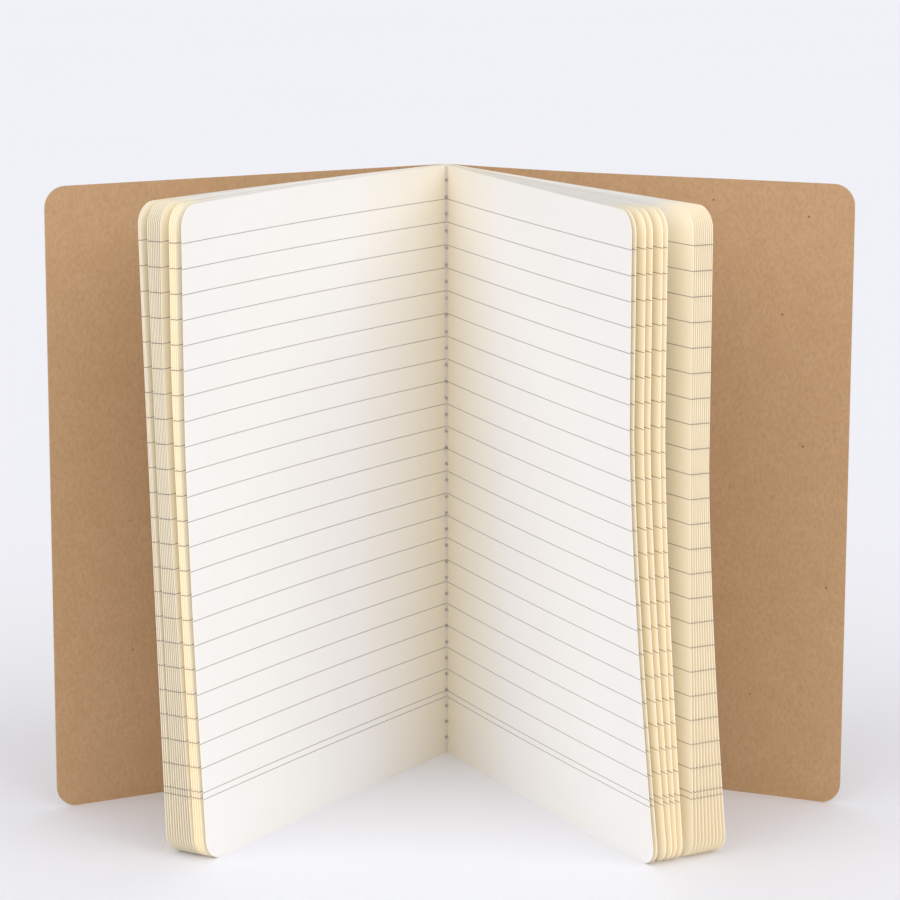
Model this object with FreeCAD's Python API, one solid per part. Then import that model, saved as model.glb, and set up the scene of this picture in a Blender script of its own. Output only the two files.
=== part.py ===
import FreeCAD, Part
import math
import os

# Thread-sewn pocket notebook, standing open on its foot.
# Millimetres and degrees.  The fold of the innermost sheet is the Z axis and the
# foot of that fold is the origin.  The open side faces -Y, the spine is at +Y.
# A heading is the angle between a leaf and the -Y direction, so 0 is a shut book.

# Driving dimensions
page_height = 148.0
page_width = 100.2            # middle fold to fore-edge, trimmed flush when shut
corner_radius = 5.0
paper_thickness = 0.10
sheet_pitch = 0.12            # one sheet and the air beside it
sheet_count = 16
card_thickness = 0.40
card_gap = 0.06               # air between the outermost sheet and the cover
inner_fold_radius = 0.10

# How the leaves fan, from the middle out: first heading, last heading, leaf count
left_fan = [(34.0, 34.0, 1), (35.3, 35.5, 4), (36.85, 37.95, 8), (39.05, 39.2, 3)]
right_fan = [(24.6, 25.1, 2), (26.3, 27.1, 2), (28.4, 29.0, 2), (32.9, 34.6, 10)]
front_cover_heading = 62.3
back_cover_heading = 64.4

# Room for turning: what stays with the spine keeps inside the fold radius
fold_zone_radius = 2.55
leaf_start_radius = 2.70
cover_start = 2.70            # along the cover, from the fold

# Sewing
thread_radius = 0.20
strand_radius = 0.16          # the thread is pulled thinner where it goes down a hole
thread_clearance = 0.03
hole_radius = 0.45
hole_pitch = 4.13
first_hole_from_head = 3.65
lock_depth = 1.20             # how far behind the middle fold the two threads meet
lock_gap = 0.04

card_inner_radius = inner_fold_radius + sheet_count * sheet_pitch + card_gap
card_outer_radius = card_inner_radius + card_thickness
left = -1
right = 1


def vec(x, y, z=0.0):
    return FreeCAD.Vector(x, y, z)


def spread(fan):
    """List one heading for each leaf of a fan, from the middle out."""
    headings = []
    for first, last, count in fan:
        step = (last - first) / max(count - 1, 1)
        headings += [first + step * place for place in range(count)]
    return headings


def along(side, heading):
    """Unit vector from the fold towards the fore-edge."""
    turn = math.radians(heading)
    return vec(side * math.sin(turn), -math.cos(turn))


def outward(side, heading):
    """Unit vector across a leaf, towards its own cover."""
    turn = math.radians(heading)
    return vec(side * math.cos(turn), math.sin(turn))


def fold_radius(number):
    """Inner radius of a sheet's fold, counted from the middle out."""
    return inner_fold_radius + (number - 1) * sheet_pitch


def reach(bend_radius, heading):
    """Fold to fore-edge: an outer layer slides outward as its fold opens."""
    return page_width + bend_radius * math.radians(heading)


def panel(side, heading, start, end, offset, thickness):
    """Flat leaf or cover board with its two fore-edge corners rounded."""
    slant = corner_radius * math.sqrt(0.5)
    centre_s = end - corner_radius
    low_z = corner_radius
    high_z = page_height - corner_radius
    foot_corner = Part.Arc(vec(centre_s, 0, 0), vec(centre_s + slant, 0, low_z - slant), vec(end, 0, low_z))
    head_corner = Part.Arc(vec(end, 0, high_z), vec(centre_s + slant, 0, high_z + slant),
                           vec(centre_s, 0, page_height))
    edges = [
        Part.LineSegment(vec(start, 0, 0), vec(centre_s, 0, 0)),
        foot_corner,
        Part.LineSegment(vec(end, 0, low_z), vec(end, 0, high_z)),
        head_corner,
        Part.LineSegment(vec(centre_s, 0, page_height), vec(start, 0, page_height)),
        Part.LineSegment(vec(start, 0, page_height), vec(start, 0, 0)),
    ]
    outline = Part.Wire([edge.toShape() for edge in edges])
    board = Part.Face(outline).extrude(vec(0, side * thickness, 0))
    board.translate(vec(0, side * offset, 0))
    board.rotate(vec(0, 0, 0), vec(0, 0, 1), side * (heading - 90.0) - (180.0 if side == left else 0.0))
    return board


def folded_strip(inner_radius, thickness, left_heading, right_heading):
    """Arc round the fold with a short straight leg towards each leaf."""
    outer_radius = inner_radius + thickness
    leg = math.sqrt(fold_zone_radius ** 2 - outer_radius ** 2)
    along_left = along(left, left_heading)
    along_right = along(right, right_heading)
    out_left = outward(left, left_heading)
    out_right = outward(right, right_heading)
    middle = (out_left + out_right).normalize()
    edges = [
        Part.LineSegment(out_left * inner_radius + along_left * leg, out_left * inner_radius),
        Part.Arc(out_left * inner_radius, middle * inner_radius, out_right * inner_radius),
        Part.LineSegment(out_right * inner_radius, out_right * inner_radius + along_right * leg),
        Part.LineSegment(out_right * inner_radius + along_right * leg,
                         out_right * outer_radius + along_right * leg),
        Part.LineSegment(out_right * outer_radius + along_right * leg, out_right * outer_radius),
        Part.Arc(out_right * outer_radius, middle * outer_radius, out_left * outer_radius),
        Part.LineSegment(out_left * outer_radius, out_left * outer_radius + along_left * leg),
        Part.LineSegment(out_left * outer_radius + along_left * leg,
                         out_left * inner_radius + along_left * leg),
    ]
    outline = Part.Wire([edge.toShape() for edge in edges])
    return Part.Face(outline).extrude(vec(0, 0, page_height))


def hole_heights():
    """Needle holes, even from the head down, while one still fits above the foot."""
    count = int((page_height - 2 * first_hole_from_head) / hole_pitch) + 1
    return [page_height - first_hole_from_head - hole_pitch * place for place in range(count)]


def needle_holes():
    """Drills for every hole, straight through the fold from front to back."""
    depth = 4 * card_outer_radius
    start_y = -2 * card_outer_radius
    return [Part.makeCylinder(hole_radius, depth, vec(0, start_y, z), vec(0, 1, 0)) for z in hole_heights()]


def thread(x, y, tip_y):
    """Thread lying along the fold, with a strand down each hole to tip_y."""
    run = Part.makeCylinder(thread_radius, page_height, vec(x, y, 0), vec(0, 0, 1))
    towards = 1.0 if tip_y > y else -1.0
    strands = [
        Part.makeCylinder(strand_radius, abs(tip_y - y), vec(x, y, z), vec(0, towards, 0))
        for z in hole_heights()
    ]
    return run.multiFuse(strands)


def needle_thread(left_heading, right_heading):
    """Thread in the middle fold, nested between the two facing pages."""
    half_angle = math.radians((left_heading + right_heading) / 2)
    distance = (thread_radius + thread_clearance - inner_fold_radius) / math.sin(half_angle)
    bisector = math.radians((left_heading - right_heading) / 2)
    return thread(-distance * math.sin(bisector), -distance * math.cos(bisector), lock_depth)


def bobbin_thread():
    """Thread along the outside of the spine."""
    return thread(0.0, card_outer_radius + thread_radius + thread_clearance, lock_depth + lock_gap)


def leaf(side, number, heading):
    offset = fold_radius(number)
    start = math.sqrt(leaf_start_radius ** 2 - offset ** 2)
    return panel(side, heading, start, reach(offset, heading), offset, paper_thickness)


def cover(side, heading):
    end = reach(card_inner_radius + card_thickness / 2, heading)
    return panel(side, heading, cover_start, end, card_inner_radius, card_thickness)


def build():
    left_headings = spread(left_fan)
    right_headings = spread(right_fan)
    drills = needle_holes()
    nodes = {
        "front_cover": cover(left, front_cover_heading),
        "back_cover": cover(right, back_cover_heading),
        "needle_thread": needle_thread(left_headings[0], right_headings[0]),
        "bobbin_thread": bobbin_thread(),
    }
    spine = folded_strip(card_inner_radius, card_thickness, front_cover_heading, back_cover_heading)
    nodes["cover_spine"] = spine.cut(drills)
    for number in range(1, sheet_count + 1):
        left_heading = left_headings[number - 1]
        right_heading = right_headings[number - 1]
        strip = folded_strip(fold_radius(number), paper_thickness, left_heading, right_heading)
        nodes[f"sheet_fold_{number:02d}"] = strip.cut(drills)
        nodes[f"left_leaf_{number:02d}"] = leaf(left, number, left_heading)
        nodes[f"right_leaf_{number:02d}"] = leaf(right, number, right_heading)
    return nodes


def write(nodes):
    os.makedirs("parts", exist_ok=True)
    for name, shape in nodes.items():
        shape.exportStep(f"parts/{name}.step")
        solids = len(shape.Solids)
        print(f"{name}: {solids} solid, {shape.Volume:.1f} mm3, valid {shape.isValid()}")


write(build())
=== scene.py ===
import math

import bmesh
import bpy
import numpy as np
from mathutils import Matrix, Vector


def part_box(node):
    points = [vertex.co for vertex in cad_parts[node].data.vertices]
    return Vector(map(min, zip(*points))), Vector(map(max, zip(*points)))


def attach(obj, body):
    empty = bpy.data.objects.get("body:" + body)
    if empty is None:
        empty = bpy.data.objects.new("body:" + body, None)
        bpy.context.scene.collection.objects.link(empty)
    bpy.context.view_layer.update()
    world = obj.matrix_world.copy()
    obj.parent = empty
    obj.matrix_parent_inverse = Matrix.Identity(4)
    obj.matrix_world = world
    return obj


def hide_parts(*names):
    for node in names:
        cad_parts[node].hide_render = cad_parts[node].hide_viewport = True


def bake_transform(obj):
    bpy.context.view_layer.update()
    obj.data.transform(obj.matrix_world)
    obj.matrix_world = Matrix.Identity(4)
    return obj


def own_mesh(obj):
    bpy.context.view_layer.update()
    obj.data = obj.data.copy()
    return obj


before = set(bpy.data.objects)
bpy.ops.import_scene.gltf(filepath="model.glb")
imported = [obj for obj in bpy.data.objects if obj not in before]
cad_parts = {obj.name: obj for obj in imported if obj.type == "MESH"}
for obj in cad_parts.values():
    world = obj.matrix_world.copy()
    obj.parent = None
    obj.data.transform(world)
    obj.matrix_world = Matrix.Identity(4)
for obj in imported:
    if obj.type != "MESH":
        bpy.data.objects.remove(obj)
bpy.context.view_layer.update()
mm = 0.001
sides = {"left": -1, "right": 1}
sheetCount = 16
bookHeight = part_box("left_leaf_01")[1].z


# small helpers for node trees
def newTree(name, kind, inputs, outputs):
    tree = bpy.data.node_groups.new(name, kind)
    for label, socketType, value in inputs:
        socket = tree.interface.new_socket(name=label, in_out="INPUT", socket_type="NodeSocket" + socketType)
        if value is not None:
            socket.default_value = value
    for label, socketType in outputs:
        tree.interface.new_socket(name=label, in_out="OUTPUT", socket_type="NodeSocket" + socketType)
    source = tree.nodes.new("NodeGroupInput")
    target = tree.nodes.new("NodeGroupOutput")
    return tree, source.outputs, target.inputs


def addNode(tree, kind, inputs=None, **settings):
    node = tree.nodes.new(kind)
    for name, value in settings.items():
        setattr(node, name, value)
    for key, value in (inputs or {}).items():
        if isinstance(value, bpy.types.NodeSocket):
            tree.links.new(value, node.inputs[key])
        else:
            node.inputs[key].default_value = value
    return node


def calc(tree, operation, *values):
    node = addNode(tree, "ShaderNodeMath", dict(enumerate(values)), operation=operation)
    return node.outputs[0]


def mixColour(tree, share, first, second):
    node = addNode(tree, "ShaderNodeMix", data_type="RGBA")
    for index, value in ((0, share), (6, first), (7, second)):
        if isinstance(value, bpy.types.NodeSocket):
            tree.links.new(value, node.inputs[index])
        else:
            node.inputs[index].default_value = value
    return node.outputs[2]


def scaleVector(tree, vector, factor):
    node = addNode(tree, "ShaderNodeVectorMath", {0: vector, "Scale": factor}, operation="SCALE")
    return node.outputs[0]


def remap(tree, value, low, high, newLow, newHigh):
    node = addNode(tree, "ShaderNodeMapRange", {0: value, 1: low, 2: high, 3: newLow, 4: newHigh})
    return node.outputs[0]


def nearestStep(tree, first, height, spacing, lastIndex):
    # how far below the first mark this height lies, and its distance to the nearest of the even marks
    drop = calc(tree, "SUBTRACT", first, height)
    index = calc(tree, "ROUND", calc(tree, "DIVIDE", drop, spacing))
    index = calc(tree, "MINIMUM", calc(tree, "MAXIMUM", index, 0.0), lastIndex)
    apart = calc(tree, "ABSOLUTE", calc(tree, "SUBTRACT", drop, calc(tree, "MULTIPLY", index, spacing)))
    return drop, apart


# shader groups shared by the materials
def makeFibreGroup():
    # pulp cloud, fine fibres that cross at two slants, and a height for the bump
    tree, source, target = newTree("paperFibre", "ShaderNodeTree", [
        ("Vector", "Vector", None), ("Cloud Scale", "Float", 60.0), ("Fibre Scale", "Float", 900.0),
        ("Fibre Stretch", "Float", 0.2),
    ], [("Cloud", "Float"), ("Fibre", "Float"), ("Height", "Float")])
    cloud = addNode(tree, "ShaderNodeTexNoise", {
        "Vector": source["Vector"], "Scale": source["Cloud Scale"], "Detail": 4.0, "Roughness": 0.6,
    })
    fibres = []
    for slant in (0.5, -0.9):
        stretch = addNode(tree, "ShaderNodeCombineXYZ", {0: 1.0, 1: 1.0, 2: source["Fibre Stretch"]})
        turned = addNode(tree, "ShaderNodeMapping", {
            "Vector": source["Vector"], "Rotation": (0.0, slant, slant), "Scale": stretch.outputs[0],
        })
        fibre = addNode(tree, "ShaderNodeTexNoise", {
            "Vector": turned.outputs[0], "Scale": source["Fibre Scale"], "Detail": 2.0, "Roughness": 0.55,
        })
        fibres.append(fibre.outputs["Fac"])
    both = calc(tree, "MULTIPLY", calc(tree, "ADD", *fibres), 0.5)
    tree.links.new(cloud.outputs["Fac"], target["Cloud"])
    tree.links.new(both, target["Fibre"])
    tree.links.new(calc(tree, "MULTIPLY_ADD", cloud.outputs["Fac"], 0.35, both), target["Height"])
    return tree


def makeRuleGroup():
    # evenly spaced rules counted down from the head, with one more close under the last
    tree, source, target = newTree("ruleLines", "ShaderNodeTree", [
        ("Height", "Float", 0.0), ("Head", "Float", bookHeight), ("First Rule", "Float", 0.008),
        ("Spacing", "Float", 0.0056), ("Last Index", "Float", 22.0), ("Double Gap", "Float", 0.0015),
        ("Half Width", "Float", 0.0001),
    ], [("Mask", "Float")])
    first = calc(tree, "SUBTRACT", source["Head"], source["First Rule"])
    drop, even = nearestStep(tree, first, source["Height"], source["Spacing"], source["Last Index"])
    lastDrop = calc(tree, "MULTIPLY_ADD", source["Last Index"], source["Spacing"], source["Double Gap"])
    extra = calc(tree, "ABSOLUTE", calc(tree, "SUBTRACT", drop, lastDrop))
    nearest = calc(tree, "MINIMUM", even, extra)
    # the ink fades out over one half width
    edge = calc(tree, "MULTIPLY", source["Half Width"], 1.5)
    core = calc(tree, "MULTIPLY", source["Half Width"], 0.5)
    tree.links.new(remap(tree, nearest, core, edge, 1.0, 0.0), target["Mask"])
    return tree


fibreGroup = makeFibreGroup()
ruleGroup = makeRuleGroup()


def newMaterial(name, roughness, specular):
    material = bpy.data.materials.new(name)
    material.use_nodes = True
    tree = material.node_tree
    tree.nodes.clear()
    output = tree.nodes.new("ShaderNodeOutputMaterial")
    shader = addNode(tree, "ShaderNodeBsdfPrincipled", {
        "Roughness": roughness, "Specular IOR Level": specular,
    })
    tree.links.new(shader.outputs[0], output.inputs["Surface"])
    coordinates = tree.nodes.new("ShaderNodeTexCoord").outputs["Object"]
    return material, tree, shader, coordinates


def addFibre(tree, coordinates, values):
    node = addNode(tree, "ShaderNodeGroup", node_tree=fibreGroup)
    tree.links.new(coordinates, node.inputs["Vector"])
    for label in ("Cloud Scale", "Fibre Scale", "Fibre Stretch"):
        node.inputs[label].default_value = values[label]
    return node.outputs


def addBump(tree, shader, fibre, values):
    bump = addNode(tree, "ShaderNodeBump", {
        "Height": fibre["Height"], "Strength": values["bump"], "Distance": values["bumpDepth"],
    })
    tree.links.new(bump.outputs[0], shader.inputs["Normal"])


def finishSurface(tree, shader, fibre, values):
    # the fibres vary the roughness and stand up a little
    lowest = values["roughness"] - values["roughnessSpread"]
    highest = values["roughness"] + values["roughnessSpread"]
    tree.links.new(remap(tree, fibre["Fibre"], 0.3, 0.7, lowest, highest), shader.inputs["Roughness"])
    addBump(tree, shader, fibre, values)


paperValues = {
    "ivory": (0.905, 0.882, 0.848, 1.0),
    "ivoryShade": (0.890, 0.864, 0.828, 1.0),
    # painted shade: a darker, warmer colour near the fold, where the sheets shade each other
    "paintedFoldShade": (0.885, 0.798, 0.635, 1.0),
    "paintedFoldShadeShare": 0.8,
    "paintedFoldShadeReach": (3.0 * mm, 36.0 * mm),
    # painted light: a brighter, yellower colour towards the open edge of the sheets behind the first, for
    # light bounced between them
    "paintedEdgeLight": (0.980, 0.890, 0.700, 1.0),
    "paintedEdgeLightReach": (84.0 * mm, 94.0 * mm),
    # painted glow: an emission that stands in for light soaking through the thin sheets
    "paintedGlow": (1.0, 0.83, 0.53, 1.0),
    "paintedGlowStrength": 0.20,
    "papers": {
        # painted edge light share, share of the painted glow that stands in for light soaked through, and
        # where out from the fold that glow comes in
        "firstPaper": (0.0, 0.0, (95.5 * mm, 100.3 * mm)),
        "nearPaper": (1.0, 0.75, (95.0 * mm, 100.3 * mm)),
        # the right far leaves get more painted glow than the left ones: a lit and a shaded copy of the same
        # paper
        "leftFarPaper": (1.0, 0.1, (99.4 * mm, 102.0 * mm)),
        "rightFarPaper": (1.0, 0.32, (85.0 * mm, 97.0 * mm)),
        # the cut edges get a strong painted glow, a painted highlight along the rims
        "cutPaper": (0.2, 0.9, (8.0 * mm, 30.0 * mm)),
    },
    "ruleInk": (0.17, 0.145, 0.14, 1.0),
    "roughness": 0.85,
    "roughnessSpread": 0.06,
    "specular": 0.25,
    "fibre": {"Cloud Scale": 45.0, "Fibre Scale": 1400.0, "Fibre Stretch": 0.25},
    "rules": {"First Rule": 8.25 * mm, "Spacing": 5.621 * mm, "Last Index": 22.0, "Double Gap": 1.55 * mm,
              "Half Width": 0.09 * mm},
    "inkStrength": 0.80,
    "bump": 0.25,
    "bumpDepth": 0.03 * mm,
}


def makePaper(name, values):
    paintedEdgeLightShare, paintedGlowShare, paintedGlowReach = values["papers"][name]
    material, tree, shader, coordinates = newMaterial(name, values["roughness"], values["specular"])
    fibre = addFibre(tree, coordinates, values["fibre"])
    cloudy = calc(tree, "MULTIPLY", fibre["Cloud"], 0.6)
    tone = calc(tree, "ADD", cloudy, calc(tree, "MULTIPLY", fibre["Fibre"], 0.4))
    shaded = remap(tree, tone, 0.35, 0.65, 0.0, 1.0)
    sheetColour = mixColour(tree, shaded, values["ivory"], values["ivoryShade"])
    place = addNode(tree, "ShaderNodeSeparateXYZ", {0: coordinates})
    # painted warm shade darkens the sheets towards the fold and, below the first one, painted light makes
    # them brighter and yellower towards the open edge
    flatPlace = addNode(tree, "ShaderNodeCombineXYZ", {0: place.outputs["X"], 1: place.outputs["Y"]})
    length = addNode(tree, "ShaderNodeVectorMath", {0: flatPlace.outputs[0]}, operation="LENGTH")
    fromFold = length.outputs["Value"]
    paintedFoldShadeMask = remap(tree, fromFold, *values["paintedFoldShadeReach"], values["paintedFoldShadeShare"], 0.0)
    paintedEdgeLightMask = remap(tree, fromFold, *values["paintedEdgeLightReach"], 0.0, paintedEdgeLightShare)
    sheetColour = mixColour(tree, paintedFoldShadeMask, sheetColour, values["paintedFoldShade"])
    sheetColour = mixColour(tree, paintedEdgeLightMask, sheetColour, values["paintedEdgeLight"])
    rules = addNode(tree, "ShaderNodeGroup", node_tree=ruleGroup)
    rules.inputs["Head"].default_value = bookHeight
    for label, value in values["rules"].items():
        rules.inputs[label].default_value = value
    tree.links.new(place.outputs["Z"], rules.inputs["Height"])
    # the ink sits a little thinner on the raised fibres
    ink = calc(tree, "MULTIPLY", rules.outputs[0], remap(tree, fibre["Fibre"], 0.35, 0.65, 1.0, 0.8))
    ink = calc(tree, "MULTIPLY", ink, values["inkStrength"])
    tree.links.new(mixColour(tree, ink, sheetColour, values["ruleInk"]), shader.inputs["Base Color"])
    # a painted glow stands in for light that soaks through the thin margin of the sheet in front, but it is
    # kept off the ink
    bare = remap(tree, ink, 0.0, 0.5, 1.0, 0.0)
    paintedGlow = calc(tree, "MULTIPLY", remap(tree, fromFold, *paintedGlowReach, 0.0, paintedGlowShare), bare)
    glow = mixColour(tree, paintedGlow, (0.0, 0.0, 0.0, 1.0), values["paintedGlow"])
    tree.links.new(glow, shader.inputs["Emission Color"])
    shader.inputs["Emission Strength"].default_value = values["paintedGlowStrength"]
    finishSurface(tree, shader, fibre, values)
    return material


kraftValues = {
    "brown": (0.548, 0.342, 0.180, 1.0),
    "brownDeep": (0.470, 0.283, 0.146, 1.0),
    "brownPale": (0.590, 0.378, 0.212, 1.0),
    "speck": (0.12, 0.065, 0.03, 1.0),
    "roughness": 0.78,
    "roughnessSpread": 0.1,
    "specular": 0.3,
    "fibre": {"Cloud Scale": 160.0, "Fibre Scale": 1500.0, "Fibre Stretch": 0.6},
    "speckScale": 190.0,
    "speckSize": 0.032,
    "bump": 0.35,
    "bumpDepth": 0.05 * mm,
}


def makeKraft(values):
    material, tree, shader, coordinates = newMaterial("kraftCard", values["roughness"], values["specular"])
    fibre = addFibre(tree, coordinates, values["fibre"])
    paleShare = remap(tree, fibre["Cloud"], 0.35, 0.65, 0.0, 0.55)
    cloudy = mixColour(tree, paleShare, values["brown"], values["brownPale"])
    deepShare = remap(tree, fibre["Fibre"], 0.42, 0.68, 0.0, 0.75)
    fibrous = mixColour(tree, deepShare, cloudy, values["brownDeep"])
    # sparse dark bits of bark in the pulp
    cells = addNode(tree, "ShaderNodeTexVoronoi", {"Vector": coordinates, "Scale": values["speckScale"]})
    speckSize = values["speckSize"]
    isSpeck = remap(tree, cells.outputs["Distance"], speckSize, speckSize * 2, 1.0, 0.0)
    cellShade = addNode(tree, "ShaderNodeSeparateColor", {0: cells.outputs["Color"]})
    chosen = remap(tree, cellShade.outputs[0], 0.72, 0.86, 0.0, 0.8)
    coloured = mixColour(tree, calc(tree, "MULTIPLY", isSpeck, chosen), fibrous, values["speck"])
    tree.links.new(coloured, shader.inputs["Base Color"])
    finishSurface(tree, shader, fibre, values)
    return material


threadValues = {
    "pale": (0.93, 0.90, 0.86, 1.0),
    "shade": (0.74, 0.69, 0.64, 1.0),
    "roughness": 0.7,
    "specular": 0.35,
    "fibre": {"Cloud Scale": 500.0, "Fibre Scale": 6000.0, "Fibre Stretch": 0.15},
    "bump": 0.5,
    "bumpDepth": 0.02 * mm,
}


def makeThreadMaterial(values):
    material, tree, shader, coordinates = newMaterial("spunThread", values["roughness"], values["specular"])
    fibre = addFibre(tree, coordinates, values["fibre"])
    shaded = remap(tree, fibre["Fibre"], 0.35, 0.65, 0.0, 1.0)
    coloured = mixColour(tree, shaded, values["pale"], values["shade"])
    tree.links.new(coloured, shader.inputs["Base Color"])
    addBump(tree, shader, fibre, values)
    return material


papers = {name: makePaper(name, paperValues) for name in paperValues["papers"]}
kraft = makeKraft(kraftValues)
spun = makeThreadMaterial(threadValues)
print("materials made")


# the needle holes, counted down from the head, shared by the leaves, folds and threads
stitchValues = {
    "First Hole": 3.65 * mm,
    "Hole Pitch": 4.13 * mm,
    "Last Hole": 34.0,
    "Hole Half Width": 0.46 * mm,
    "Hole Half Height": 0.60 * mm,
}
stitchInputs = [(label, "Float", value) for label, value in stitchValues.items()]


def makeHoleGroup():
    # an almond at every needle hole along the fold: its half width at this height
    tree, source, target = newTree("holeShape", "GeometryNodeTree", [
        ("Z", "Float", 0.0), ("Height", "Float", bookHeight), *stitchInputs,
    ], [("Half Width", "Float")])
    first = calc(tree, "SUBTRACT", source["Height"], source["First Hole"])
    apart = nearestStep(tree, first, source["Z"], source["Hole Pitch"], source["Last Hole"])[1]
    share = calc(tree, "POWER", calc(tree, "DIVIDE", apart, source["Hole Half Height"]), 2.0)
    almond = calc(tree, "MAXIMUM", calc(tree, "SUBTRACT", 1.0, share), 0.0)
    tree.links.new(calc(tree, "MULTIPLY", almond, source["Hole Half Width"]), target["Half Width"])
    return tree


holeGroup = makeHoleGroup()


def addHoles(tree, source, height, z):
    node = addNode(tree, "GeometryNodeGroup", node_tree=holeGroup)
    tree.links.new(z, node.inputs["Z"])
    tree.links.new(height, node.inputs["Height"])
    for label in stitchValues:
        tree.links.new(source[label], node.inputs[label])
    return node.outputs["Half Width"]


def ownPlace(tree):
    return tree.nodes.new("GeometryNodeInputPosition").outputs[0]


def unitGrid(tree, columns, rows):
    # a grid whose own place gives the two shares, 0 to 1 across and 0 to 1 up
    grid = addNode(tree, "GeometryNodeMeshGrid", {
        "Size X": 1.0, "Size Y": 1.0, "Vertices X": columns, "Vertices Y": rows,
    })
    place = addNode(tree, "ShaderNodeSeparateXYZ", {0: ownPlace(tree)})
    across = calc(tree, "ADD", place.outputs["X"], 0.5)
    up = calc(tree, "ADD", place.outputs["Y"], 0.5)
    return grid.outputs["Mesh"], across, up


def finishTree(tree, geometry, material, target):
    realized = addNode(tree, "GeometryNodeRealizeInstances", {"Geometry": geometry})
    painted = addNode(tree, "GeometryNodeSetMaterial", {
        "Geometry": realized.outputs[0], "Material": material,
    })
    tree.links.new(painted.outputs[0], target["Geometry"])


def thicken(tree, surface, direction, thickness, material, target):
    # the surface, its copy pushed across, and the walls between them
    pushed = addNode(tree, "GeometryNodeExtrudeMesh", {
        "Mesh": surface, "Offset": direction, "Offset Scale": thickness, "Individual": False,
    })
    back = addNode(tree, "GeometryNodeFlipFaces", {"Mesh": surface})
    joined = addNode(tree, "GeometryNodeJoinGeometry")
    for part in (pushed.outputs["Mesh"], back.outputs["Mesh"]):
        tree.links.new(part, joined.inputs[0])
    merged = addNode(tree, "GeometryNodeMergeByDistance", {
        "Geometry": joined.outputs[0], "Distance": 0.004 * mm,
    })
    finishTree(tree, merged.outputs[0], material, target)


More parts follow.
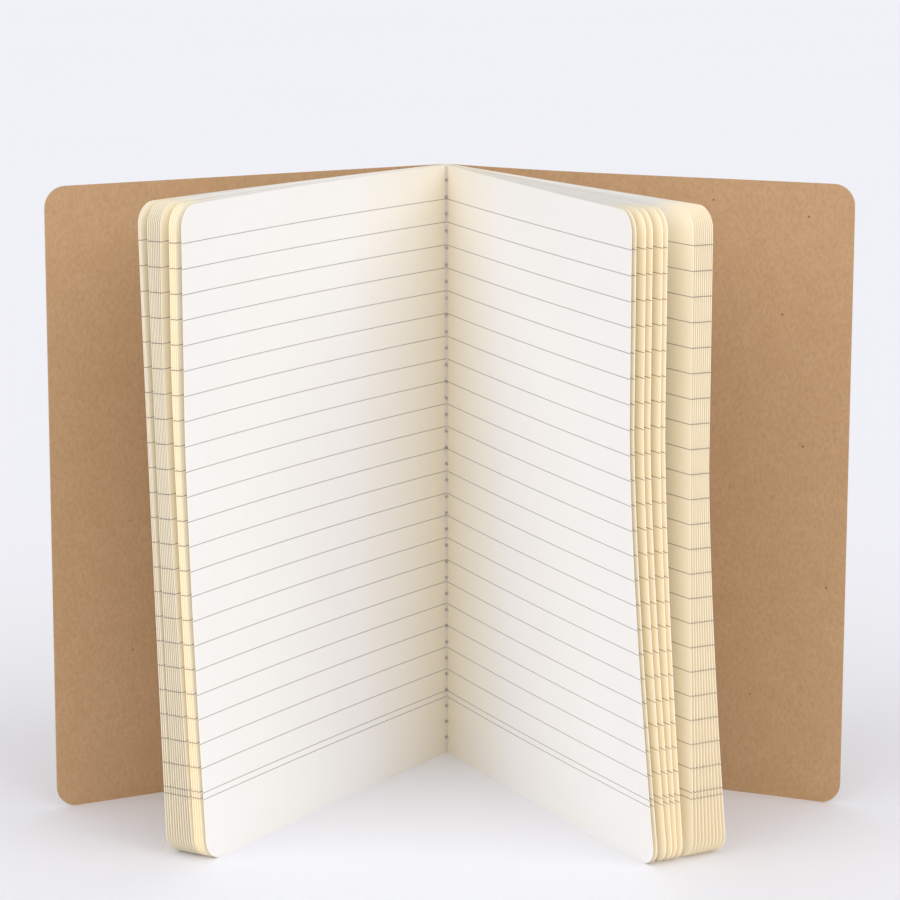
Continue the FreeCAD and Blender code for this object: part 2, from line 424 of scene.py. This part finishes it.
def makePanelTree():
    # the inner face of a leaf or a cover board: rounded at the two fore-edge corners, bowed and leaning
    tree, source, target = newTree("bookPanel", "GeometryNodeTree", [
        ("Side", "Float", 1.0), ("Heading", "Float", 0.5), ("Fold Radius", "Float", 0.0),
        ("Reach", "Float", 0.1), ("Height", "Float", 0.148), ("Corner", "Float", 0.005),
        ("Lean Head", "Float", 0.0), ("Lean Foot", "Float", 0.0), ("Lean Start", "Float", 1.0),
        ("Lean Power", "Float", 1.0), ("Bow Head", "Float", 0.0), ("Bow Foot", "Float", 0.0),
        ("Bow Skew", "Float", 1.0), ("Columns", "Int", 25), ("Rows", "Int", 57),
        ("Corner Share", "Float", 0.14), *stitchInputs, ("Material", "Material", None),
    ], [("Geometry", "Geometry")])
    grid, across, up = unitGrid(tree, source["Columns"], source["Rows"])
    height = source["Height"]
    corner = source["Corner"]
    share = source["Corner Share"]

    def cornerRise(step):
        # rows close up towards the end of a rounded corner
        turned = calc(tree, "MINIMUM", calc(tree, "DIVIDE", step, share), 1.0)
        angle = calc(tree, "MULTIPLY", turned, math.pi / 2)
        return calc(tree, "MULTIPLY", corner, calc(tree, "SUBTRACT", 1.0, calc(tree, "COSINE", angle)))

    straight = calc(tree, "SUBTRACT", height, calc(tree, "MULTIPLY", corner, 2.0))
    middle = remap(tree, up, share, calc(tree, "SUBTRACT", 1.0, share), 0.0, straight)
    fromHead = cornerRise(calc(tree, "SUBTRACT", 1.0, up))
    z = calc(tree, "ADD", calc(tree, "ADD", cornerRise(up), middle), calc(tree, "SUBTRACT", corner, fromHead))
    nearEnd = calc(tree, "MINIMUM", calc(tree, "MINIMUM", z, calc(tree, "SUBTRACT", height, z)), corner)
    rise = calc(tree, "SUBTRACT", corner, nearEnd)
    squares = [calc(tree, "MULTIPLY", length, length) for length in (corner, rise)]
    chord = calc(tree, "SQRT", calc(tree, "SUBTRACT", *squares))
    end = calc(tree, "ADD", calc(tree, "SUBTRACT", source["Reach"], corner), chord)
    # needle holes bite into the edge that lies in the fold
    hole = addHoles(tree, source, height, z)
    sine = calc(tree, "SINE", source["Heading"])
    cosine = calc(tree, "COSINE", source["Heading"])
    hollow = calc(tree, "MULTIPLY", source["Fold Radius"], cosine)
    bite = calc(tree, "DIVIDE", calc(tree, "SUBTRACT", hole, hollow), sine)
    start = calc(tree, "MAXIMUM", bite, 0.0)
    run = calc(tree, "MULTIPLY_ADD", across, calc(tree, "SUBTRACT", end, start), start)
    # how far the sheet stands off its flat plane
    reachShare = calc(tree, "DIVIDE", run, source["Reach"])
    leanTop = calc(tree, "MULTIPLY", height, source["Lean Start"])
    down = calc(tree, "SUBTRACT", 1.0, calc(tree, "DIVIDE", z, leanTop))
    lower = calc(tree, "POWER", calc(tree, "MAXIMUM", down, 0.0), source["Lean Power"])
    leanGain = calc(tree, "SUBTRACT", source["Lean Foot"], source["Lean Head"])
    lean = calc(tree, "MULTIPLY_ADD", lower, leanGain, source["Lean Head"])
    bowGain = calc(tree, "SUBTRACT", source["Bow Foot"], source["Bow Head"])
    bow = calc(tree, "MULTIPLY_ADD", lower, bowGain, source["Bow Head"])
    skew = source["Bow Skew"]
    skewOne = calc(tree, "ADD", skew, 1.0)
    scale = calc(tree, "DIVIDE", calc(tree, "POWER", skewOne, skewOne), calc(tree, "POWER", skew, skew))
    left = calc(tree, "MAXIMUM", calc(tree, "SUBTRACT", 1.0, reachShare), 0.0)
    crown = calc(tree, "MULTIPLY", calc(tree, "MULTIPLY", reachShare, calc(tree, "POWER", left, skew)), scale)
    leaning = calc(tree, "MULTIPLY", run, calc(tree, "TANGENT", lean))
    stand = calc(tree, "ADD", leaning, calc(tree, "MULTIPLY", crown, bow))
    away = calc(tree, "ADD", stand, source["Fold Radius"])
    sideSine = calc(tree, "MULTIPLY", source["Side"], sine)
    sideCosine = calc(tree, "MULTIPLY", source["Side"], cosine)
    x = calc(tree, "ADD", calc(tree, "MULTIPLY", run, sideSine), calc(tree, "MULTIPLY", away, sideCosine))
    y = calc(tree, "SUBTRACT", calc(tree, "MULTIPLY", away, sine), calc(tree, "MULTIPLY", run, cosine))
    position = addNode(tree, "ShaderNodeCombineXYZ", {0: x, 1: y, 2: z}).outputs[0]
    placed = addNode(tree, "GeometryNodeSetPosition", {"Geometry": grid, "Position": position})
    finishTree(tree, placed.outputs[0], source["Material"], target)
    return tree


def makeFoldTree():
    # one half of a fold: a strip bent round the sewing line, from the back middle to where a leaf leaves it
    tree, source, target = newTree("halfFold", "GeometryNodeTree", [
        ("Side", "Float", 1.0), ("Heading", "Float", 0.5), ("Fold Radius", "Float", 0.001),
        ("Thickness", "Float", 0.0001), ("Height", "Float", 0.148), ("Columns", "Int", 6),
        ("Rows", "Int", 494), *stitchInputs, ("Material", "Material", None),
    ], [("Geometry", "Geometry")])
    grid, across, up = unitGrid(tree, source["Columns"], source["Rows"])
    z = calc(tree, "MULTIPLY", up, source["Height"])
    hole = addHoles(tree, source, source["Height"], z)
    widest = calc(tree, "COSINE", source["Heading"])
    holeSine = calc(tree, "MINIMUM", calc(tree, "DIVIDE", hole, source["Fold Radius"]), widest)
    startAngle = calc(tree, "ARCSINE", holeSine)
    endAngle = calc(tree, "SUBTRACT", math.pi / 2, source["Heading"])
    angle = calc(tree, "MULTIPLY_ADD", across, calc(tree, "SUBTRACT", endAngle, startAngle), startAngle)
    sideSine = calc(tree, "MULTIPLY", source["Side"], calc(tree, "SINE", angle))
    radial = addNode(tree, "ShaderNodeCombineXYZ", {0: sideSine, 1: calc(tree, "COSINE", angle), 2: 0.0})
    outward = radial.outputs[0]
    ring = scaleVector(tree, outward, source["Fold Radius"])
    lift = addNode(tree, "ShaderNodeCombineXYZ", {2: z})
    position = addNode(tree, "ShaderNodeVectorMath", {0: ring, 1: lift.outputs[0]}, operation="ADD")
    # the radial direction is kept on the points before they move
    kept = addNode(tree, "GeometryNodeCaptureAttribute", {"Geometry": grid})
    kept.capture_items.new("VECTOR", "Outward")
    tree.links.new(outward, kept.inputs[1])
    placed = addNode(tree, "GeometryNodeSetPosition", {
        "Geometry": kept.outputs[0], "Position": position.outputs[0],
    })
    thicken(tree, placed.outputs[0], kept.outputs[1], source["Thickness"], source["Material"], target)
    return tree


def makeThreadTree():
    # a three-ply thread that lies along the fold and dips into every needle hole
    tree, source, target = newTree("sewingThread", "GeometryNodeTree", [
        ("X", "Float", 0.0), ("Y", "Float", 0.0), ("Dip", "Float", 0.0006), ("Height", "Float", 0.148),
        ("Radius", "Float", 0.00018), ("Ply Depth", "Float", 0.22), ("Turn Length", "Float", 0.0011),
        ("Points", "Int", 1200), *stitchInputs, ("Material", "Material", None),
    ], [("Geometry", "Geometry")])
    top = addNode(tree, "ShaderNodeCombineXYZ", {2: source["Height"]}).outputs[0]
    line = addNode(tree, "GeometryNodeCurvePrimitiveLine", {"End": top})
    fine = addNode(tree, "GeometryNodeResampleCurve", {"Curve": line.outputs[0], "Count": source["Points"]})
    z = addNode(tree, "ShaderNodeSeparateXYZ", {0: ownPlace(tree)}).outputs["Z"]
    hole = addHoles(tree, source, source["Height"], z)
    share = calc(tree, "DIVIDE", hole, source["Hole Half Width"])
    dip = calc(tree, "MULTIPLY", calc(tree, "SMOOTH_MIN", share, 1.0, 0.3), source["Dip"])
    y = calc(tree, "ADD", source["Y"], dip)
    position = addNode(tree, "ShaderNodeCombineXYZ", {0: source["X"], 1: y, 2: z})
    laid = addNode(tree, "GeometryNodeSetPosition", {
        "Geometry": fine.outputs[0], "Position": position.outputs[0],
    })
    turns = calc(tree, "MULTIPLY", calc(tree, "DIVIDE", z, source["Turn Length"]), 2 * math.pi)
    twisted = addNode(tree, "GeometryNodeSetCurveTilt", {"Curve": laid.outputs[0], "Tilt": turns})
    ring = addNode(tree, "GeometryNodeCurvePrimitiveCircle", {"Resolution": 18, "Radius": source["Radius"]})
    spot = addNode(tree, "ShaderNodeSeparateXYZ", {0: ownPlace(tree)})
    around = calc(tree, "MULTIPLY", calc(tree, "ARCTAN2", spot.outputs["Y"], spot.outputs["X"]), 3.0)
    lobe = calc(tree, "MULTIPLY", calc(tree, "SUBTRACT", 1.0, calc(tree, "COSINE", around)), 0.5)
    shrink = calc(tree, "SUBTRACT", 1.0, calc(tree, "MULTIPLY", lobe, source["Ply Depth"]))
    scaled = scaleVector(tree, ownPlace(tree), shrink)
    plies = addNode(tree, "GeometryNodeSetPosition", {"Geometry": ring.outputs[0], "Position": scaled})
    tube = addNode(tree, "GeometryNodeCurveToMesh", {
        "Curve": twisted.outputs[0], "Profile Curve": plies.outputs[0], "Fill Caps": True,
    })
    finishTree(tree, tube.outputs[0], source["Material"], target)
    return tree


panelTree = makePanelTree()
foldTree = makeFoldTree()
threadTree = makeThreadTree()


def grow(name, tree, values):
    # runs a tree with these inputs and keeps the result as a plain mesh
    piece = bpy.data.objects.new(name, bpy.data.meshes.new(name))
    bpy.context.scene.collection.objects.link(piece)
    modifier = piece.modifiers.new("grow", "NODES")
    modifier.node_group = tree
    for item in tree.interface.items_tree:
        if item.in_out == "INPUT" and item.name in values:
            modifier[item.identifier] = values[item.name]
    evaluated = piece.evaluated_get(bpy.context.evaluated_depsgraph_get())
    mesh = bpy.data.meshes.new_from_object(evaluated)
    piece.modifiers.clear()
    piece.data = mesh
    mesh.name = name
    tidyMesh(mesh)
    return piece


def tidyMesh(mesh, sharpAngle=math.radians(40)):
    work = bmesh.new()
    work.from_mesh(mesh)
    bmesh.ops.dissolve_degenerate(work, dist=0.001 * mm, edges=work.edges)
    bmesh.ops.recalc_face_normals(work, faces=work.faces)
    for face in work.faces:
        face.smooth = True
    for edge in work.edges:
        edge.smooth = edge.is_manifold and edge.calc_face_angle(0.0) < sharpAngle
    work.to_mesh(mesh)
    work.free()


def readPanel(node, side):
    # where a CAD panel lies: it is straight in plan, so its longest direction is its heading
    points = np.array([vertex.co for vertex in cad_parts[node].data.vertices])[:, :2]
    centred = points - points.mean(axis=0)
    direction = np.linalg.svd(centred, full_matrices=False)[2][0]
    if direction[1] > 0:
        direction = -direction
    heading = math.atan2(side * direction[0], -direction[1])
    outward = np.array([side * math.cos(heading), math.sin(heading)])
    across = points @ outward
    return {
        "Side": float(side),
        "Heading": heading,
        "Fold Radius": float(across.min()),
        "Thickness": float(across.max() - across.min()),
        "Reach": float((points @ direction).max()),
    }


def outwardOf(panel):
    return Vector((panel["Side"] * math.cos(panel["Heading"]), math.sin(panel["Heading"]), 0.0))


def growPanel(name, node, panel, values):
    # the mesh is the inner face; the modifier keeps the thickness when the sheet is pressed flat
    piece = grow(name, panelTree, {**panel, **stitchValues, **values, "Height": bookHeight})
    outward = outwardOf(panel)
    if piece.data.polygons[0].normal.dot(outward) > 0:
        piece.data.flip_normals()
    wall = piece.modifiers.new("thickness", "SOLIDIFY")
    wall.thickness = panel["Thickness"]
    wall.offset = -1.0      # behind the face, so away from the middle of the book
    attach(piece, node)
    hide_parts(node)
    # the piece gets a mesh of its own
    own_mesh(piece)
    return piece


# each side's leaf shapes at a few numbered leaves; the ones between are blended
leafLabels = ("Lean Head", "Lean Foot", "Bow Head", "Bow Foot", "Lean Start", "Lean Power")
leafUnits = (math.radians(1.0), math.radians(1.0), mm, mm, 1.0, 1.0)      # degrees, mm and plain shares
leafValues = {
    "left": {
        1: (0.8, -1.7, 1.75, 0.45, 0.68, 1.4),
        2: (0.45, -2.5, 1.7, 0.45, 0.70, 1.38),
        5: (0.9, -1.7, 1.6, 0.4, 0.76, 1.32),
        6: (0.95, -2.7, 1.55, 0.4, 0.79, 1.30),
        13: (1.2, -1.5, 1.3, 0.35, 0.94, 1.16),
        14: (1.25, -2.3, 1.25, 0.3, 0.96, 1.14),
        16: (1.3, -1.8, 1.2, 0.3, 1.0, 1.1),
    },
    "right": {
        1: (-1.4, 3.0, -0.8, -0.6, 0.68, 1.4),
        4: (-1.25, 3.1, -0.75, -0.5, 0.68, 1.4),
        5: (-1.2, 2.4, -0.7, -0.5, 0.68, 1.4),
        6: (-1.2, 2.6, -0.7, -0.5, 0.68, 1.4),
        7: (-1.3, 0.2, -0.7, -0.5, 0.68, 1.4),
        16: (-1.0, 3.0, -0.5, -0.4, 0.62, 1.4),
    },
    "Corner": 5.0 * mm,
    "nearLeaves": {"left": 5, "right": 6},
    "holedLeaves": 5,            # leaves whose flat part is cut by the needle holes
    "holedRows": 751,            # fine enough to draw the holes
    "holedCornerShare": 0.04,    # share of those rows in each rounded corner
}


def leafShape(sideName, number):
    stations = leafValues[sideName]
    low = max(station for station in stations if station <= number)
    high = min(station for station in stations if station >= number)
    share = (number - low) / max(high - low, 1)
    mixed = [inner + (outer - inner) * share for inner, outer in zip(stations[low], stations[high])]
    return {label: value * unit for label, value, unit in zip(leafLabels, mixed, leafUnits)}


def paperOf(sideName, number):
    if number == 1:
        return papers["firstPaper"]
    return papers["nearPaper" if number <= leafValues["nearLeaves"][sideName] else sideName + "FarPaper"]


def makeLeaf(sideName, number):
    node = f"{sideName}_leaf_{number:02d}"
    panel = readPanel(node, sides[sideName])
    values = leafShape(sideName, number)
    values.update({"Material": paperOf(sideName, number), "Corner": leafValues["Corner"]})
    if number <= leafValues["holedLeaves"]:
        values.update({"Rows": leafValues["holedRows"], "Corner Share": leafValues["holedCornerShare"]})
    else:
        values.update({"Hole Half Width": 0.0})
    leaf = growPanel(f"{sideName}Leaf{number:02d}", node, panel, values)
    # the rim faces take the cut edge paper with its painted glow
    leaf.data.materials.append(papers["cutPaper"])
    leaf.modifiers["thickness"].material_offset_rim = 1
    return panel


def makeHalfFold(name, panel, material, replaced):
    values = {**panel, **stitchValues, "Height": bookHeight, "Material": material}
    strip = grow(name, foldTree, values)
    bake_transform(strip)
    if replaced:
        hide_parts(replaced)


leafPanels = {}
for sideName in sides:
    for number in range(1, sheetCount + 1):
        panel = makeLeaf(sideName, number)
        leafPanels[sideName, number] = panel
        # the first and last leaves turn on a joint of their own; the left half folds take the place of the
        # CAD sheet folds
        replaced = f"sheet_fold_{number:02d}" if sideName == "left" else None
        makeHalfFold(f"{sideName}Fold{number:02d}", panel,
                     paperOf(sideName, number), replaced)
print("leaves and folds made")


coverValues = {
    "front_cover": {"Lean Head": math.radians(-0.5), "Lean Foot": math.radians(0.5)},
    "back_cover": {"Bow Head": -2.6 * mm, "Bow Foot": -2.6 * mm, "Bow Skew": 2.0},
    "Corner": 5.0 * mm,
}


def makeCover(name, node, sideName, replacedSpine):
    panel = readPanel(node, sides[sideName])
    values = {**coverValues[node], "Corner": coverValues["Corner"], "Material": kraft}
    values["Hole Half Width"] = 0.0
    board = growPanel(name, node, panel, values)
    makeHalfFold(name + "Hinge", panel, kraft, replacedSpine)
    return panel


frontPanel = makeCover("frontCover", "front_cover", "left", "cover_spine")
makeCover("backCover", "back_cover", "right", None)
print("cover made")


seamValues = {
    "radius": 0.15 * mm,
    "clearance": 0.03 * mm,
    "needleDip": 0.75 * mm,
    "bobbinDip": -0.6 * mm,
    "bobbinPress": 0.8,           # how far the bobbin thread stands off the spine, in thread radii
    "plies": {"Ply Depth": 0.22, "Turn Length": 1.1 * mm},
}


def makeThreads(values):
    left = leafPanels["left", 1]
    right = leafPanels["right", 1]
    halfAngle = (left["Heading"] + right["Heading"]) / 2
    lean = (left["Heading"] - right["Heading"]) / 2
    apart = (values["radius"] + values["clearance"] - left["Fold Radius"]) / math.sin(halfAngle)
    needlePlace = (-apart * math.sin(lean), -apart * math.cos(lean))
    spineBack = frontPanel["Fold Radius"] + frontPanel["Thickness"]
    bobbinPlace = (0.0, spineBack + values["radius"] * values["bobbinPress"])
    runs = {
        "needleThread": ("needle_thread", *needlePlace, values["needleDip"]),
        "bobbinThread": ("bobbin_thread", *bobbinPlace, values["bobbinDip"]),
    }
    for name, (node, x, y, dip) in runs.items():
        thread = grow(name, threadTree, {
            **stitchValues, **values["plies"], "X": x, "Y": y, "Dip": dip, "Height": bookHeight,
            "Radius": values["radius"], "Material": spun,
        })
        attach(thread, "spine")
        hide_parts(node)


makeThreads(seamValues)
print("threads made")


studioValues = {
    "cameraPlace": (0.84 * mm, -752.7 * mm, 229.6 * mm),
    "cameraPitch": 11.42,
    "lens": 124.5,
    "floorSize": 14.0,
    "floorColour": (0.863, 0.863, 0.893, 1.0),
    "skyColour": (0.965, 0.975, 1.0, 1.0),
    "skyStrength": 0.72,
    "lights": {"rightLight": (0.76, (52.0, 0.0, 55.0)), "leftLight": (0.66, (52.0, 0.0, -55.0)),
               "frontLight": (0.42, (70.0, 0.0, 0.0))},
    "lightAngle": 50.0,
    "floorMottle": (3.0, 1.01),       # scale, and how much paler the pale parts are
}


def makeStudio(values):
    bpy.ops.mesh.primitive_plane_add(size=values["floorSize"], location=(0.0, 0.0, 0.0))
    floor = bpy.context.object
    floor.name = "studioFloor"
    floorPaint, tree, shader, coordinates = newMaterial("floorPaint", 0.9, 0.1)
    scale, paling = values["floorMottle"]
    mottle = addNode(tree, "ShaderNodeTexNoise", {"Vector": coordinates, "Scale": scale})
    paler = tuple(channel * paling for channel in values["floorColour"][:3]) + (1.0,)
    mottled = mixColour(tree, mottle.outputs["Fac"], values["floorColour"], paler)
    tree.links.new(mottled, shader.inputs["Base Color"])
    floor.data.materials.append(floorPaint)
    world = bpy.data.worlds.new("studioSky")
    world.use_nodes = True
    sky = world.node_tree.nodes["Background"]
    sky.inputs["Color"].default_value = values["skyColour"]
    sky.inputs["Strength"].default_value = values["skyStrength"]
    bpy.context.scene.world = world
    for name, (strength, turn) in values["lights"].items():
        light = bpy.data.objects.new(name, bpy.data.lights.new(name, "SUN"))
        light.data.energy = strength
        light.data.angle = math.radians(values["lightAngle"])
        light.rotation_euler = [math.radians(angle) for angle in turn]
        bpy.context.scene.collection.objects.link(light)
    camera = bpy.data.objects.new("bookCamera", bpy.data.cameras.new("bookCamera"))
    camera.data.lens = values["lens"]
    camera.data.sensor_width = 36.0
    camera.data.clip_start = 0.05
    camera.data.clip_end = 60.0
    camera.location = values["cameraPlace"]
    camera.rotation_euler = (math.radians(90.0 - values["cameraPitch"]), 0.0, 0.0)
    bpy.context.scene.collection.objects.link(camera)
    bpy.context.scene.camera = camera
    bpy.context.scene.view_settings.view_transform = "Standard"


makeStudio(studioValues)
print("studio made")
